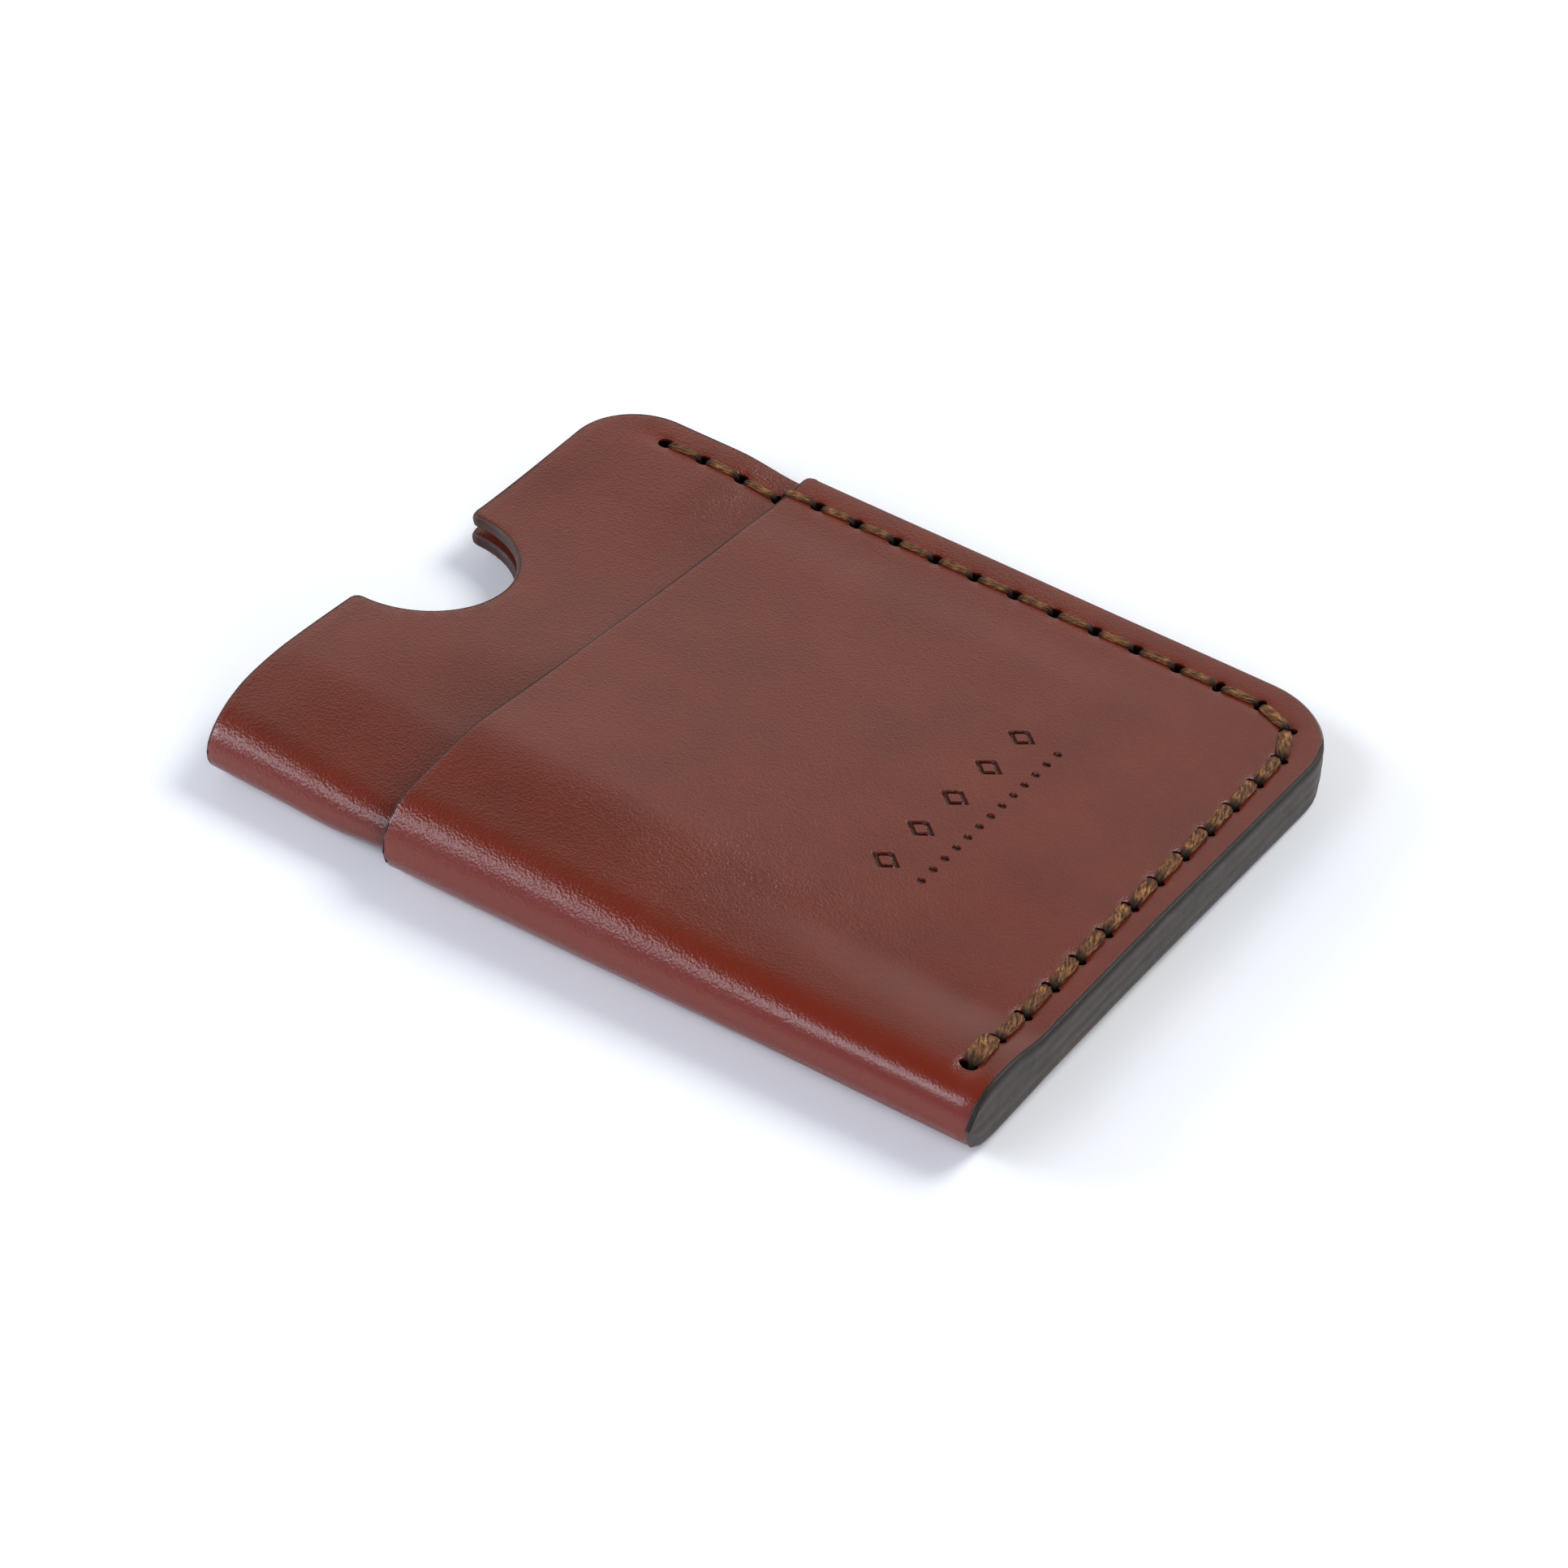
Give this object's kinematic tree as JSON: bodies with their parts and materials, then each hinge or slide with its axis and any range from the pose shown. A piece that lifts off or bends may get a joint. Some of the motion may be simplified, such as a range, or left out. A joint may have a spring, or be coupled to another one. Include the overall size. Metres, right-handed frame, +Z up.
{
  "type": "minimalist wallet",
  "caption": "Slim hand-stitched leather card sleeve: folded inner sleeve with a thumb notch inside a shorter folded wrap, sewn along one long edge and one end.",
  "frame": {"origin": "under the middle of the footprint, on the surface that the back panel lies on", "axes": "+X from the sleeve's mouth to the closed end, -Y towards the fold, +Y towards the sewn long edge, +Z up out of the front face"},
  "size_m": [0.0936, 0.076, 0.0106],
  "materials": {
    "sleeve_leather": "smooth reddish-brown vegetable-tanned leather, satin",
    "wrap_leather": "smooth reddish-brown vegetable-tanned leather, satin",
    "thread": "flat braided waxed polyester thread, brown",
    "edge_coat": "dark brown acrylic edge paint, satin",
    "cement": "dried contact cement"
  },
  "bodies": {
    "root": {"inner_sleeve": "sleeve_leather", "outer_wrap": "wrap_leather", "thread_needle_a": "thread", "thread_needle_b": "thread", "edge_coat_seam": "edge_coat", "edge_coat_sleeve_mouth": "edge_coat", "edge_coat_wrap_mouth": "edge_coat", "bond_front": "cement", "bond_middle": "cement", "bond_back": "cement"}
  },
  "joints": []
}
